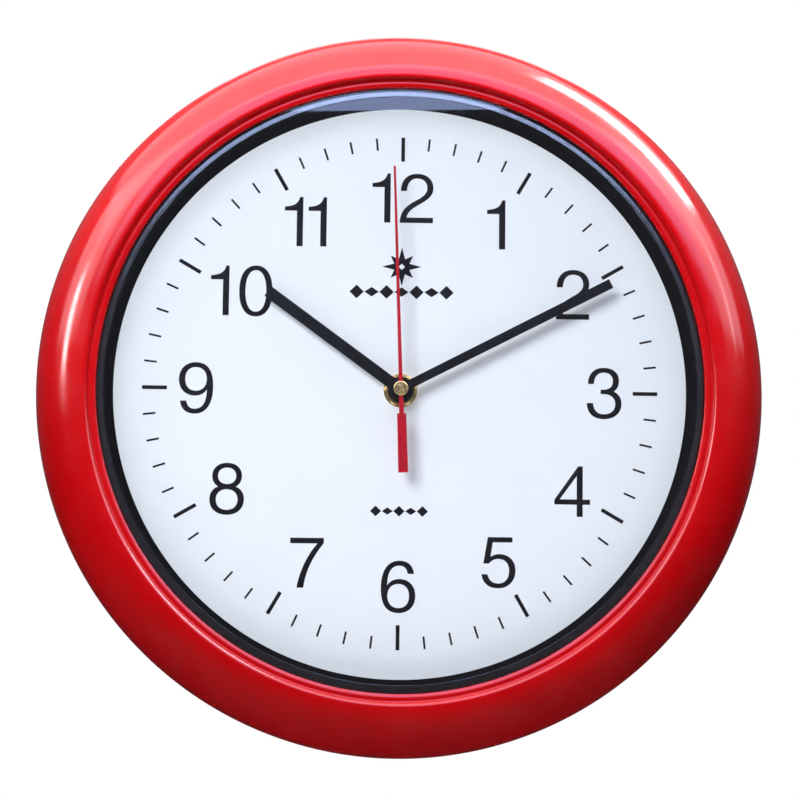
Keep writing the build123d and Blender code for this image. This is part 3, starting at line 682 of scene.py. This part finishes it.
# Metal finishes by slot: name, colour, tint, patch, roughness and how its marks are drawn out.
PLATED = {
    "screw_zinc": ("screw_zinc", (0.60, 0.60, 0.62), (0.66, 0.61, 0.52)),
    "motor_iron": (
        "laminated_iron", (0.30, 0.31, 0.33), (0.20, 0.21, 0.25), 2.0, (0.35, 0.5), (1.0, 1.0, 0.12),
    ),
    "crystal_can": (
        "crystal_can", (0.68, 0.68, 0.70), (0.60, 0.60, 0.62), 1.0, (0.18, 0.3), (1, 1, 0.1),
    ),
    "cell_cap": ("cell_cap_steel", (0.70, 0.69, 0.66), (0.62, 0.61, 0.58)),
    "contact_nickel": (
        "contact_nickel", (0.66, 0.64, 0.60), (0.58, 0.56, 0.51), 1.2, (0.2, 0.35), (0.2, 1, 1),
    ),
    "arbor_steel": (
        "arbor_steel", (0.62, 0.62, 0.63), (0.55, 0.55, 0.57), 0.6, (0.12, 0.22), (1, 0.1, 1),
    ),
}
# Waxy resins and matt covers by slot.
RESINS = {
    "bobbin_white": ("bobbin_resin", (0.72, 0.71, 0.66)),
    "gear_white": ("gear_natural", (0.78, 0.77, 0.72)),
    "gear_amber": ("gear_amber", (0.62, 0.34, 0.09)),
    "knob_white": ("knob_resin", (0.75, 0.75, 0.73)),
}
ERODED = {
    "cover_black": ("cover_eroded", (0.016, 0.016, 0.018)),
    "movement_black": ("movement_eroded", (0.022, 0.022, 0.024), (0.38, 0.55)),
}
# Slots whose finish has a recipe of its own.
RECIPES = {
    "case_red": case_gloss,
    "clear_glass": clear_pane,
    "gloss_black": spacer_gloss,
    "lining": matt_lining,
    "dial_white": dial_paper,
    "hanger_steel": galvanised_steel,
    "brass_bright": turned_brass,
    "winding_copper": wound_wire,
    "board_green": board_laminate,
    "cell_sleeve": cell_sleeve,
    "printing": printing_ink,
    "hand_black": lambda: hand_lacquer("hand_lacquer_black", settings()[1].hands, (0.30, 0.42)),
    "hand_red": lambda: hand_lacquer("hand_lacquer_red", settings()[1].sweep, (0.26, 0.38)),
}
mixed = {}


def finish_of(slot):
    """The finish of a slot, mixed when it is first asked for."""
    if slot not in mixed:
        if slot in MOULDED:
            mixed[slot] = moulded(*MOULDED[slot]).material
        elif slot in PLATED:
            mixed[slot] = plated(*PLATED[slot])
        elif slot in RESINS:
            mixed[slot] = gear_resin(*RESINS[slot])
        elif slot in ERODED:
            mixed[slot] = eroded(*ERODED[slot])
        else:
            mixed[slot] = RECIPES[slot]()
    return mixed[slot]


def coat(*nodes):
    """Gives CAD nodes that stay the finish of their slot."""
    for node in nodes:
        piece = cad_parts[node]
        slot = piece.data.materials[0].name.split(".")[0]
        piece.material_slots[0].material = finish_of(slot)


# ---------------------------------------------------------------- pieces


def case_outline():
    """The section of the case moulding, anticlockwise from its rear rim."""
    sizes = settings()[0]
    outer, crown = radius_of("case_ring"), front_of("case_ring")
    run, rise, wall = sizes.crown_run / MM, sizes.crown_rise / MM, sizes.wall / MM
    glass_front, glass_edge = front_of("glass_lens"), radius_of("glass_lens")
    hip = crown - rise
    top = (outer - run, hip)
    rim, heel, foot = outer - 5.4, outer - 3.1, 0.6
    groove, seat, pocket = outer - 24.0, glass_edge + 0.4, 21.0
    lip = groove - 3.1
    under = crown - wall
    outline = [(rim, 0.0), (heel - 0.5, 0.0), (heel, foot)]
    outline += arc((heel, foot), (outer - 0.7, hip / 2), (outer, hip))
    outline += oval(top, run, rise, 0, 90, 36)[1:]
    outline += arc((top[0], crown), (groove + 0.8, crown - 0.35), (groove + 0.3, crown - 1.1))
    outline += [(groove, crown - 2.0), (groove - 0.6, crown - 2.2)]
    bead = (groove - 1.7, crown - 2.15)
    outline += arc((groove - 0.6, crown - 2.2), bead, (groove - 2.8, crown - 2.5), 5)
    outline += [(lip, crown - 3.0), (lip, glass_front), (seat, glass_front), (seat, pocket)]
    outline += [(seat + 2.0, pocket), (seat + 2.0, under), (top[0], under)]
    outline += oval(top, run - wall, rise - wall, 90, 0, 16)[1:]
    outline += arc((outer - wall, hip), (outer - 2.9, hip / 2), (rim, 0.0))[:-1]
    return outline


class CLOCK_OT_case(bpy.types.Operator):
    """Turn the gloss red case with its screw pillars"""

    bl_idname = "clock.case"
    bl_label = "Case"

    def execute(self, context):
        form = bmesh.new()
        turn(form, case_outline())
        bore, girth, foot, head, circle = 1.5, 3.6, 21.0, 37.5, 137
        pillar = [(bore, foot), (girth, foot), (girth, head), (bore, head)]
        for i in range(6):
            angle = math.radians(30 + 60 * i)
            turn(form, pillar, (circle * math.sin(angle), circle * math.cos(angle)), 32)
        add_piece("case_moulding", form, finish_of("case_red"), "clock_body", "case_red", "case_ring")
        return {"FINISHED"}


class CLOCK_OT_glass(bpy.types.Operator):
    """Cut the glass pane and turn the black ring that holds it off the dial"""

    bl_idname = "clock.glass"
    bl_label = "Glass and spacer"

    def execute(self, context):
        low, high, edge = back_of("glass_lens"), front_of("glass_lens"), radius_of("glass_lens")
        seam = 0.3
        pane = bmesh.new()
        outline = [(0, low), (edge - seam, low), (edge, low + seam)]
        outline += [(edge, high - seam), (edge - seam, high), (0, high)]
        turn(pane, outline)
        glass = finish_of("clear_glass")
        add_piece("glass_pane", pane, glass, "clock_body", "clear_glass", "glass_lens")

        dial, top, rim = back_of("spacer_ring"), front_of("spacer_ring"), radius_of("spacer_ring")
        # The land leans back to its outer edge, so the ring meets the glass at its inner edge.
        lean, skirt, floor = 0.3, top - 6, top - 1.8
        shoulder = top - lean
        mouth = (rim - 7.62, top - 0.6)
        ring = bmesh.new()
        outline = [(rim - 8.8, dial), mouth]
        outline += arc(mouth, (rim - 7.45, top - 0.15), (rim - 7.0, top), 5)
        outline += [(rim - 6.6, top), (rim - 0.4, shoulder)]
        outline += arc((rim - 0.4, shoulder), (rim - 0.12, shoulder - 0.12), (rim, shoulder - 0.4), 3)
        outline += [(rim, skirt), (rim - 1.6, skirt), (rim - 1.6, floor), (rim - 5.6, floor)]
        outline += [(rim - 7.0, dial)]
        turn(ring, outline)
        black = finish_of("gloss_black")
        add_piece("spacer_moulding", ring, black, "clock_body", "gloss_black", "spacer_ring")

        lining = bmesh.new()
        outline = [(rim - 8.95, dial), (rim - 7.77, top - 0.6), (rim - 7.6, top - 0.15)]
        outline += [(rim - 7.15, top), (rim - 6.9, top), (rim - 7.3, top - 0.6), (rim - 8.5, dial)]
        turn(lining, outline)
        add_piece("spacer_lining", lining, finish_of("lining"), "clock_body", "gloss_black")
        return {"FINISHED"}


# Digit outlines on a body 700 units high, y up.
SIX = (
    "M496 522 C484 640 410 703 293 703 C130 703 38 570 38 322 C38 95 120 -19 282 -19"
    " C425 -19 518 75 518 218 C518 355 430 451 295 451 C222 451 165 422 126 365"
    " C128 545 185 634 291 634 C358 634 398 595 407 522 Z"
    " M282 382 C372 382 430 318 430 215 C430 112 372 50 283 50"
    " C190 50 130 118 130 218 C130 318 190 382 282 382 Z"
)
DIGITS = {
    "0": "M278 703 C414 703 511 590 511 342 C511 94 414 -19 278 -19"
    " C142 -19 45 94 45 342 C45 590 142 703 278 703 Z"
    " M278 636 C192 636 132 540 132 342 C132 144 192 48 278 48"
    " C364 48 424 144 424 342 C424 540 364 636 278 636 Z",
    "1": "M271 0 H359 V703 H314 C290 610 235 572 101 563 V505 H271 Z",
    "2": "M26 0 H497 V76 H124 C137 150 190 200 300 262 C437 340 499 400 499 500 C499 625 408 703 275 703"
    " C130 703 44 620 39 455 H126 C129 570 185 636 272 636 C358 636 413 580 413 500"
    " C413 430 371 385 262 325 C110 240 34 170 26 0 Z",
    "3": "M49 473 C52 620 140 703 272 703 C405 703 486 634 486 524 C486 446 455 396 412 370"
    " C480 340 522 285 522 197 C522 65 420 -19 272 -19 C125 -19 38 60 34 206 H122 C128 106 180 50 272 50"
    " C372 50 433 107 433 194 C433 282 372 334 258 334 H227 V396 H262 C350 396 400 440 400 514"
    " C400 590 350 636 272 636 C190 636 138 580 134 473 Z",
    "4": "M337 0 H421 V169 H523 V241 H421 V703 H356 L25 235 V169 H337 Z M337 241 V568 L100 241 Z",
    "5": "M462 688 H120 L58 322 H138 C170 365 215 388 270 388"
    " C360 388 418 325 418 222 C418 115 356 48 268 48"
    " C185 48 135 95 118 174 H32 C48 50 135 -19 264 -19 C409 -19 507 85 507 230 C507 364 414 454 284 454"
    " C235 454 190 440 158 415 L190 616 H462 Z",
    "6": SIX,
    "7": "M48 688 H514 V616 C366 430 270 240 238 0 H144 C182 230 286 450 424 611 H48 Z",
    "8": "M278 703 C402 703 484 628 484 524 C484 455 455 403 400 373 C475 345 517 285 517 195"
    " C517 65 420 -19 277 -19 C134 -19 38 65 38 195 C38 285 80 345 155 373 C101 403 72 455 72 524"
    " C72 628 154 703 278 703 Z"
    " M278 636 C205 636 152 592 152 523 C152 452 205 408 278 408"
    " C351 408 404 452 404 523 C404 592 351 636 278 636 Z"
    " M277 336 C187 336 127 280 127 193 C127 106 187 50 277 50"
    " C367 50 428 106 428 193 C428 280 367 336 277 336 Z",
}
DIGIT_BODY = 703
# Each numeral's digits, with the middle of the digit and its baseline from the arbor, in millimetres.
NUMERALS = {
    12: (("1", -8.8, 70.1), ("2", 5.8, 70.1)),
    1: (("1", 39.0, 59.5),),
    2: (("2", 70.9, 30.6),),
    3: (("3", 84.1, -10.1),),
    4: (("4", 71.0, -51.0),),
    5: (("5", 40.9, -80.0),),
    6: (("6", 0.0, -90.5),),
    7: (("7", -37.4, -81.2),),
    8: (("8", -70.5, -51.4),),
    9: (("9", -84.0, -10.1),),
    10: (("1", -75.0, 30.3), ("0", -60.2, 30.5)),
    11: (("1", -45.0, 59.6), ("1", -35.2, 59.6)),
}


def digit_loops(digit, middle, baseline):
    """A digit's loops in millimetres, centred on middle and standing on baseline."""
    if digit == "9":
        corner = Vector((556, 684))
        loops = [[[corner - point for point in knot] for knot in loop] for loop in read_outline(SIX)]
    else:
        loops = read_outline(DIGITS[digit])
    scale = settings()[0].numeral_height / MM / DIGIT_BODY
    across = [knot[0].x for loop in loops for knot in loop]
    return moved(loops, scale, (middle - (min(across) + max(across)) / 2 * scale, baseline))


def printed(name, form):
    """Adds a printed form to the dial."""
    return add_piece(name, form, finish_of("printing"), "clock_body", "hand_black")


def print_levels():
    """The bottom and top of the printing, a little sunk into the dial sheet."""
    face = front_of("dial_sheet")
    return face - 0.02, face + settings()[0].print_relief / MM


class CLOCK_OT_numerals(bpy.types.Operator):
    """Print the twelve numerals on the dial"""

    bl_idname = "clock.numerals"
    bl_label = "Numerals"

    def execute(self, context):
        for hour, digits in NUMERALS.items():
            loops = [loop for digit in digits for loop in digit_loops(*digit)]
            printed(f"numeral_{hour:02d}", filled(loops, *print_levels()))
        return {"FINISHED"}


class CLOCK_OT_minute_track(bpy.types.Operator):
    """Print the minute and hour marks round the dial"""

    bl_idname = "clock.minute_track"
    bl_label = "Minute track"

    def execute(self, context):
        sizes = settings()[0]
        outer = sizes.track_radius / MM
        minutes, hours = bmesh.new(), bmesh.new()
        for i in range(60):
            on_hour = i % 5 == 0
            length = (sizes.hour_length if on_hour else sizes.minute_length) / MM
            width = (sizes.hour_width if on_hour else sizes.minute_width) / MM
            form = hours if on_hour else minutes
            spoke(form, math.radians(6 * i), outer - length, outer, width, *print_levels())
        printed("minute_marks", minutes)
        printed("hour_marks", hours)
        return {"FINISHED"}


def lozenge(x, y, across, up):
    """A diamond-shaped loop."""
    return polygon([(x - across, y), (x, y - up), (x + across, y), (x, y + up)])


class CLOCK_OT_ornaments(bpy.types.Operator):
    """Print the plain ornaments above and below the hands"""

    bl_idname = "clock.ornaments"
    bl_label = "Dial ornaments"

    def execute(self, context):
        star_height, upper_row, lower_row = 51.6, 41.0, -49.6
        star = []
        for i in range(16):
            reach = (8.2, 3.4, 6.6, 3.4)[i % 4]
            angle = math.pi * i / 8
            star.append((reach * math.sin(angle), star_height + reach * math.cos(angle)))
        loops = [polygon(star), lozenge(0.0, star_height, 1.3, 1.3)]
        loops += [lozenge(6.2 * i, upper_row, 3.0, (2.0, 2.9)[i % 2]) for i in range(-3, 4)]
        printed("upper_ornament", filled(loops, *print_levels()))
        loops = [lozenge(4.8 * i, lower_row, 2.3, (2.2, 1.5)[i % 2]) for i in range(-2, 3)]
        printed("lower_ornament", filled(loops, *print_levels()))
        return {"FINISHED"}


class CLOCK_OT_dial(bpy.types.Operator):
    """Finish the dial sheet and the board behind it"""

    bl_idname = "clock.dial"
    bl_label = "Dial"

    def execute(self, context):
        coat("dial_sheet", "dial_plate")
        return {"FINISHED"}


class CLOCK_OT_hands(bpy.types.Operator):
    """Finish the three hands and the brass fittings at their middle"""

    bl_idname = "clock.hands"
    bl_label = "Hands"

    def execute(self, context):
        coat("hour_hand", "minute_hand", "second_hand")
        coat("second_hand_cap", "hex_nut", "brass_washer", "threaded_bush", "second_arbor")
        return {"FINISHED"}


class CLOCK_OT_back(bpy.types.Operator):
    """Finish the back cover with its hanger and screws"""

    bl_idname = "clock.back"
    bl_label = "Back cover"

    def execute(self, context):
        coat("back_cover", "cover_screws", "hanger_plate", "hanger_screws")
        form = bmesh.new()
        rear, sunk, half, circle = 18.8, 19.0, 2.5, 82
        outline = [(0, rear), (half - 0.1, rear), (half, rear + 0.1), (half, sunk), (0, sunk)]
        for i in range(12):
            angle = math.radians(30 * i)
            turn(form, outline, (circle * math.sin(angle), circle * math.cos(angle)), 32)
        add_piece("cover_pin_marks", form, finish_of("cover_black"), "clock_body", "cover_black")
        return {"FINISHED"}


class CLOCK_OT_movement(bpy.types.Operator):
    """Finish the quartz movement, its train and its cell"""

    bl_idname = "clock.movement"
    bl_label = "Movement"

    def execute(self, context):
        coat("movement_housing", "movement_cover", "mid_plate", "rubber_washer")
        coat("stator", "coil_core", "coil_bobbin", "coil_winding")
        coat("circuit_board", "driver_chip", "quartz_crystal")
        coat("battery", "battery_cap", "positive_contact", "negative_contact")
        coat("second_wheel", "intermediate_wheel", "rotor_pinion", "rotor_magnet", "third_wheel")
        coat("centre_wheel", "cannon_pinion", "minute_wheel", "hour_wheel", "setting_knob")
        return {"FINISHED"}


# ---------------------------------------------------------------- stage


# Soft windows: azimuth and elevation in degrees, distance and size in metres, brightness beside
# white paper in full light, colour, and use.
WHITE = (1.0, 1.0, 1.0)
WINDOWS = {
    "key_window": (-26, 24, 1.8, (0.8, 0.8), 14.5, (0.97, 1.0, 1.0), "light"),
    "top_window": (0, 86, 1.2, (0.8, 0.6), 8.0, (1.0, 0.98, 1.0), "light"),
    "ceiling_glow": (0, 74, 1.0, (2.6, 1.5), 2.9, (1.0, 0.93, 0.98), "shine"),
    "front_blue_window": (6, 29.7, 1.9, (2.2, 0.84), 4.6, (0.46, 0.58, 1.0), "shine"),
    "left_wall_glow": (-58, 27, 1.6, (1.3, 0.8), 3.6, (1.0, 0.92, 0.98), "shine"),
    "right_wall_glow": (62, 29, 1.6, (1.3, 0.9), 3.4, (1.0, 0.88, 1.0), "shine"),
    "upper_right_window": (84, 52, 1.5, (0.50, 0.80), 26.0, (1.0, 0.99, 0.98), "shine"),
    "left_window": (-58, 14, 1.5, (0.24, 0.36), 26.0, (1.0, 0.98, 0.98), "shine"),
    "right_window": (63, 21, 1.5, (0.14, 0.45), 6.0, (1.0, 0.95, 1.0), "shine"),
    "over_case_window": (4, 56, 0.45, (1.2, 0.2), 11.0, WHITE, "light"),
    "rear_window": (180, 35, 1.6, (1.2, 1.0), 2.5, WHITE),
}
# Light all round by height: 0 is straight down, 0.5 level and 1 straight up.
SKY = (
    (0.00, (0.008, 0.006, 0.008)),
    (0.40, (0.020, 0.018, 0.022)),
    (0.50, (0.060, 0.058, 0.070)),
    (0.62, (0.100, 0.102, 0.120)),
    (0.75, (0.300, 0.310, 0.330)),
    (0.90, (0.400, 0.405, 0.420)),
)


def direction(azimuth, elevation):
    """The direction to a place round the clock: 0 is in front and 90 to the right, in degrees."""
    a, e = math.radians(azimuth), math.radians(elevation)
    return Vector((math.sin(a) * math.cos(e), -math.cos(a) * math.cos(e), math.sin(e)))


def soft_window(name, azimuth, elevation, distance, size, brightness, colour, use="both"):
    """A soft rectangular light that faces the clock and serves a use: shine, light or both."""
    lamp = bpy.data.lights.new(name, "AREA")
    lamp.shape = "RECTANGLE"
    lamp.size, lamp.size_y = size
    lamp.energy = brightness * math.pi * size[0] * size[1]
    lamp.color = colour
    holder = bpy.data.objects.new(name, lamp)
    toward = direction(azimuth, elevation)
    holder.location = toward * distance
    holder.rotation_euler = toward.to_track_quat("Z", "Y").to_euler()
    holder.visible_camera = False
    holder.visible_glossy = holder.visible_transmission = use != "light"
    holder.visible_diffuse = use != "shine"
    bpy.context.scene.collection.objects.link(holder)
    return holder


def group_of(name, *pieces):
    """A collection of pieces for a light to fall on or be blocked by."""
    group = bpy.data.collections.new(name)
    for piece in pieces:
        group.objects.link(bpy.data.objects[piece])
    return group


def soft_sky(strength):
    """A white room that is bright overhead and dim below, seen as plain white."""
    world = bpy.data.worlds.new("soft_sky")
    world.use_nodes = True
    tree = world.node_tree
    tree.nodes.clear()
    place = tree.nodes.new("ShaderNodeTexCoord")
    split = tree.nodes.new("ShaderNodeSeparateXYZ")
    ramp = tree.nodes.new("ShaderNodeValToRGB")
    height = tree.nodes.new("ShaderNodeMapRange")
    height.inputs["From Min"].default_value = -1.0
    tree.links.new(place.outputs["Generated"], split.inputs[0])
    tree.links.new(split.outputs["Z"], height.inputs["Value"])
    tree.links.new(height.outputs["Result"], ramp.inputs["Fac"])
    elements = ramp.color_ramp.elements
    while len(elements) < len(SKY):
        elements.new(0.5)
    for element, (position, colour) in zip(elements, SKY):
        element.position = position
        element.color = (*colour, 1.0)
    around = tree.nodes.new("ShaderNodeBackground")
    around.inputs["Strength"].default_value = strength
    tree.links.new(ramp.outputs["Color"], around.inputs["Color"])
    seen = tree.nodes.new("ShaderNodeBackground")
    seen.inputs["Color"].default_value = (1.0, 1.0, 1.0, 1.0)
    path = tree.nodes.new("ShaderNodeLightPath")
    both = tree.nodes.new("ShaderNodeMixShader")
    out = tree.nodes.new("ShaderNodeOutputWorld")
    tree.links.new(path.outputs["Is Camera Ray"], both.inputs[0])
    tree.links.new(around.outputs[0], both.inputs[1])
    tree.links.new(seen.outputs[0], both.inputs[2])
    tree.links.new(both.outputs[0], out.inputs["Surface"])
    bpy.context.scene.world = world


def pale_floor(stage):
    """A round floor with a soft matt finish."""
    form = bmesh.new()
    bmesh.ops.create_circle(form, cap_ends=True, segments=96, radius=stage.floor_radius)
    bmesh.ops.translate(form, verts=form.verts, vec=(0, 0, -stage.floor_drop))
    mesh = bpy.data.meshes.new("floor")
    form.to_mesh(mesh)
    form.free()
    pale = (0.82, 0.82, 0.83)
    finish = moulded("floor_matt", pale, patch=400, spread=0.01, rough=(0.75, 0.85), grain=6, depth=0.02)
    mesh.materials.append(finish.material)
    floor = bpy.data.objects.new("floor", mesh)
    floor.visible_glossy = False
    bpy.context.scene.collection.objects.link(floor)


class CLOCK_OT_stage(bpy.types.Operator):
    """Set the floor, the soft light and the camera"""

    bl_idname = "clock.stage"
    bl_label = "Stage"

    def execute(self, context):
        scene, stage = context.scene, context.scene.clock_stage
        pale_floor(stage)
        soft_sky(stage.sky)
        windows = {name: soft_window(name, *looks) for name, looks in WINDOWS.items()}
        case = group_of("lit_from_over_case", "case_moulding")
        windows["over_case_window"].light_linking.receiver_collection = case
        # Only the hands shade the dial, as in a room lit from all sides.
        hands = group_of("shade_of_hands", "hour_hand", "minute_hand", "second_hand", "second_hand_cap")
        windows["key_window"].light_linking.blocker_collection = hands

        camera = bpy.data.cameras.new("camera")
        holder = bpy.data.objects.new("camera", camera)
        middle = Vector((0.0, -0.017, -stage.aim))
        toward = direction(math.degrees(stage.azimuth), math.degrees(stage.elevation))
        holder.location = middle + toward * stage.distance
        view = toward.to_track_quat("Z", "Y").to_matrix().to_4x4()
        holder.rotation_euler = (view @ Matrix.Rotation(stage.roll, 4, "Z")).to_euler()
        camera.sensor_width = 36.0
        camera.lens = stage.lens
        camera.clip_start, camera.clip_end = 0.05, 50.0
        scene.collection.objects.link(holder)
        scene.camera = holder
        scene.view_settings.view_transform = "Standard"
        return {"FINISHED"}


class CLOCK_PT_panel(bpy.types.Panel):
    """Lists the clock's pieces"""

    bl_idname = "CLOCK_PT_panel"
    bl_label = "Wall Clock"
    bl_space_type = "VIEW_3D"
    bl_region_type = "UI"
    bl_category = "Clock"

    def draw(self, context):
        for step in STEPS:
            self.layout.operator(step.bl_idname)
        for group in (context.scene.clock_sizes, context.scene.clock_colours, context.scene.clock_stage):
            for name in group.bl_rna.properties.keys():
                if name not in ("rna_type", "name"):
                    self.layout.prop(group, name)


STEPS = (
    CLOCK_OT_case,
    CLOCK_OT_glass,
    CLOCK_OT_dial,
    CLOCK_OT_numerals,
    CLOCK_OT_minute_track,
    CLOCK_OT_ornaments,
    CLOCK_OT_hands,
    CLOCK_OT_back,
    CLOCK_OT_movement,
    CLOCK_OT_stage,
)
CLASSES = (ClockSizes, ClockColours, ClockStage, *STEPS, CLOCK_PT_panel)


def register():
    """Registers the classes and puts the settings on the scene."""
    for cls in CLASSES:
        bpy.utils.register_class(cls)
    bpy.types.Scene.clock_sizes = PointerProperty(type=ClockSizes)
    bpy.types.Scene.clock_colours = PointerProperty(type=ClockColours)
    bpy.types.Scene.clock_stage = PointerProperty(type=ClockStage)


def unregister():
    """Takes the settings off the scene and unregisters the classes."""
    del bpy.types.Scene.clock_sizes, bpy.types.Scene.clock_colours, bpy.types.Scene.clock_stage
    for cls in reversed(CLASSES):
        bpy.utils.unregister_class(cls)


def main():
    """Builds every piece and the stage."""
    register()
    for step in STEPS:
        group, name = step.bl_idname.split(".")
        getattr(getattr(bpy.ops, group), name)()


if __name__ == "__main__":
    main()
